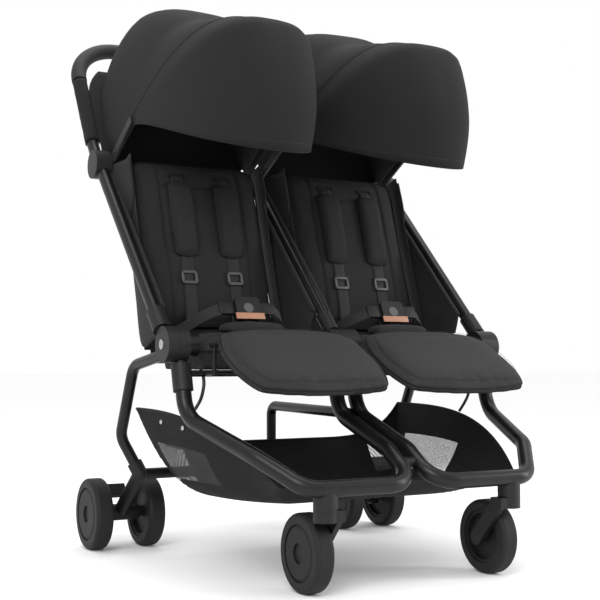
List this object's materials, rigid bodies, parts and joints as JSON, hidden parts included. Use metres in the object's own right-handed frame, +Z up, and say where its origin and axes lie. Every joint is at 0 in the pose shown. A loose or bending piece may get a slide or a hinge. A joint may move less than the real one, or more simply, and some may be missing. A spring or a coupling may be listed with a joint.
{
  "type": "side by side double stroller",
  "caption": "Folding tube-frame stroller with side-by-side padded seats, tilting hoods and calf rests, swivel front casters, twin braked rear wheels and a shared cloth basket.",
  "frame": {"origin": "on the floor, below the middle of the stroller's length and width", "axes": "+X to the right-hand side as seen from behind, -Y the way it is pushed (front), +Z up"},
  "size_m": [0.7402, 0.8785, 1.1249],
  "materials": {
    "frame_paint": "satin",
    "moulding": "satin",
    "wheel_rubber": "matte",
    "steel": "satin",
    "grip_foam": "matte",
    "button_plastic": "satin",
    "hood_cloth": "matte",
    "seat_cloth": "matte",
    "side_cloth": "matte",
    "webbing": "matte",
    "calf_cloth": "matte",
    "basket_cloth": "matte",
    "cable_sheath": "matte"
  },
  "bodies": {
    "chassis": {"front_frame_left": "frame_paint", "front_frame_right": "frame_paint", "frame_link": "frame_paint", "lower_hub_left": "moulding", "lower_hub_right": "moulding", "centre_lower_hubs": "moulding", "hinge_pins": "steel", "caster_socket_left": "moulding", "caster_socket_right": "moulding", "seat_cushion_left": "seat_cloth", "seat_cushion_right": "seat_cloth", "crotch_strap_left": "webbing", "crotch_strap_right": "webbing", "buckle_left": "moulding", "buckle_right": "moulding", "basket": "basket_cloth", "basket_support": "frame_paint"},
    "upper_frame": {"handle_frame": "frame_paint", "centre_post": "frame_paint", "upper_hub_left": "moulding", "upper_hub_right": "moulding", "centre_upper_hub": "moulding", "hub_screws": "steel", "handle_grips": "grip_foam", "latch_housing": "moulding", "hood_collars": "moulding", "seat_sides_left": "side_cloth", "seat_sides_right": "side_cloth", "hood_rear_left": "hood_cloth", "hood_rear_right": "hood_cloth"},
    "rear_legs": {"rear_leg_left": "frame_paint", "rear_leg_right": "frame_paint", "rear_cross_tube": "frame_paint", "wheel_bracket_left": "moulding", "wheel_bracket_right": "moulding", "rear_axles": "steel", "brake_cable": "cable_sheath"},
    "fold_push": {"fold_button": "button_plastic"},
    "hood_left": {"hood_visor_left": "hood_cloth", "hood_arms_left": "moulding"},
    "back_left": {"backrest_left": "seat_cloth", "harness_left": "webbing"},
    "calf_left": {"calf_rest_left": "calf_cloth"},
    "caster_left": {"caster_fork_left": "moulding"},
    "front_roller_left": {"front_wheel_left": "wheel_rubber"},
    "rear_roller_left_outer": {"rear_wheel_left_outer": "wheel_rubber"},
    "rear_roller_left_inner": {"rear_wheel_left_inner": "wheel_rubber"},
    "brake_left": {"brake_pedal_left": "moulding"},
    "release_left": {"buckle_button_left": "button_plastic"},
    "hood_right": {"hood_visor_right": "hood_cloth", "hood_arms_right": "moulding"},
    "back_right": {"backrest_right": "seat_cloth", "harness_right": "webbing"},
    "calf_right": {"calf_rest_right": "calf_cloth"},
    "caster_right": {"caster_fork_right": "moulding"},
    "front_roller_right": {"front_wheel_right": "wheel_rubber"},
    "rear_roller_right_outer": {"rear_wheel_right_outer": "wheel_rubber"},
    "rear_roller_right_inner": {"rear_wheel_right_inner": "wheel_rubber"},
    "brake_right": {"brake_pedal_right": "moulding"},
    "release_right": {"buckle_button_right": "button_plastic"}
  },
  "joints": [
    {"name": "frame_fold", "type": "hinge", "parent": "chassis", "child": "upper_frame", "pos_m": [0, -0.14921, 0.413], "axis": [1, 0, 0], "range_deg": [0, 95]},
    {"name": "rear_leg_fold", "type": "hinge", "parent": "chassis", "child": "rear_legs", "pos_m": [0, -0.14921, 0.413], "axis": [1, 0, 0], "range_deg": [-57, 0]},
    {"name": "hood_left_tilt", "type": "hinge", "parent": "upper_frame", "child": "hood_left", "pos_m": [0, 0.22087, 0.7896], "axis": [1, 0, 0], "range_deg": [-55, 0]},
    {"name": "backrest_left_recline", "type": "hinge", "parent": "upper_frame", "child": "back_left", "pos_m": [0, 0.0355, 0.3843], "axis": [1, 0, 0], "range_deg": [-25, 0]},
    {"name": "calf_rest_left_tilt", "type": "hinge", "parent": "chassis", "child": "calf_left", "pos_m": [0, -0.20321, 0.411], "axis": [1, 0, 0], "range_deg": [-30, 20]},
    {"name": "caster_left_swivel", "type": "hinge", "parent": "chassis", "child": "caster_left", "pos_m": [-0.1895, -0.41821, 0.143], "axis": [0, 0, 1], "continuous": true},
    {"name": "front_wheel_left_spin", "type": "hinge", "parent": "caster_left", "child": "front_roller_left", "pos_m": [-0.1895, -0.35821, 0.0665], "axis": [1, 0, 0], "continuous": true},
    {"name": "rear_wheel_left_outer_spin", "type": "hinge", "parent": "rear_legs", "child": "rear_roller_left_outer", "pos_m": [-0.352, 0.23679, 0.072], "axis": [1, 0, 0], "continuous": true},
    {"name": "rear_wheel_left_inner_spin", "type": "hinge", "parent": "rear_legs", "child": "rear_roller_left_inner", "pos_m": [-0.241, 0.23679, 0.072], "axis": [1, 0, 0], "continuous": true},
    {"name": "brake_left_press", "type": "hinge", "parent": "rear_legs", "child": "brake_left", "pos_m": [-0.32, 0.23679, 0.072], "axis": [1, 0, 0], "range_deg": [-18, 0]},
    {"name": "release_left_push", "type": "slide", "parent": "chassis", "child": "release_left", "axis": [0, -0.9063, 0.4226], "range_m": [-0.003, 0], "stiffness_N_per_m": 300, "springref_m": 0.002},
    {"name": "hood_right_tilt", "type": "hinge", "parent": "upper_frame", "child": "hood_right", "pos_m": [0, 0.22087, 0.7896], "axis": [1, 0, 0], "range_deg": [-55, 0]},
    {"name": "backrest_right_recline", "type": "hinge", "parent": "upper_frame", "child": "back_right", "pos_m": [0, 0.0355, 0.3843], "axis": [1, 0, 0], "range_deg": [-25, 0]},
    {"name": "calf_rest_right_tilt", "type": "hinge", "parent": "chassis", "child": "calf_right", "pos_m": [0, -0.20321, 0.411], "axis": [1, 0, 0], "range_deg": [-30, 20]},
    {"name": "caster_right_swivel", "type": "hinge", "parent": "chassis", "child": "caster_right", "pos_m": [0.1895, -0.41821, 0.143], "axis": [0, 0, 1], "continuous": true},
    {"name": "front_wheel_right_spin", "type": "hinge", "parent": "caster_right", "child": "front_roller_right", "pos_m": [0.1895, -0.35821, 0.0665], "axis": [1, 0, 0], "continuous": true},
    {"name": "rear_wheel_right_outer_spin", "type": "hinge", "parent": "rear_legs", "child": "rear_roller_right_outer", "pos_m": [0.352, 0.23679, 0.072], "axis": [1, 0, 0], "continuous": true},
    {"name": "rear_wheel_right_inner_spin", "type": "hinge", "parent": "rear_legs", "child": "rear_roller_right_inner", "pos_m": [0.241, 0.23679, 0.072], "axis": [1, 0, 0], "continuous": true},
    {"name": "brake_right_press", "type": "hinge", "parent": "rear_legs", "child": "brake_right", "pos_m": [0.32, 0.23679, 0.072], "axis": [1, 0, 0], "range_deg": [-18, 0]},
    {"name": "release_right_push", "type": "slide", "parent": "chassis", "child": "release_right", "axis": [0, -0.9063, 0.4226], "range_m": [-0.003, 0], "stiffness_N_per_m": 300, "springref_m": 0.002},
    {"name": "fold_button_push", "type": "slide", "parent": "upper_frame", "child": "fold_push", "axis": [0, 0.5225, 0.8526], "range_m": [-0.003, 0], "stiffness_N_per_m": 300, "springref_m": 0.002}
  ],
  "couplings": [
    {"joint": "rear_leg_fold", "follows": "frame_fold", "ratio": -0.6},
    {"joint": "brake_right_press", "follows": "brake_left_press", "ratio": 1}
  ]
}
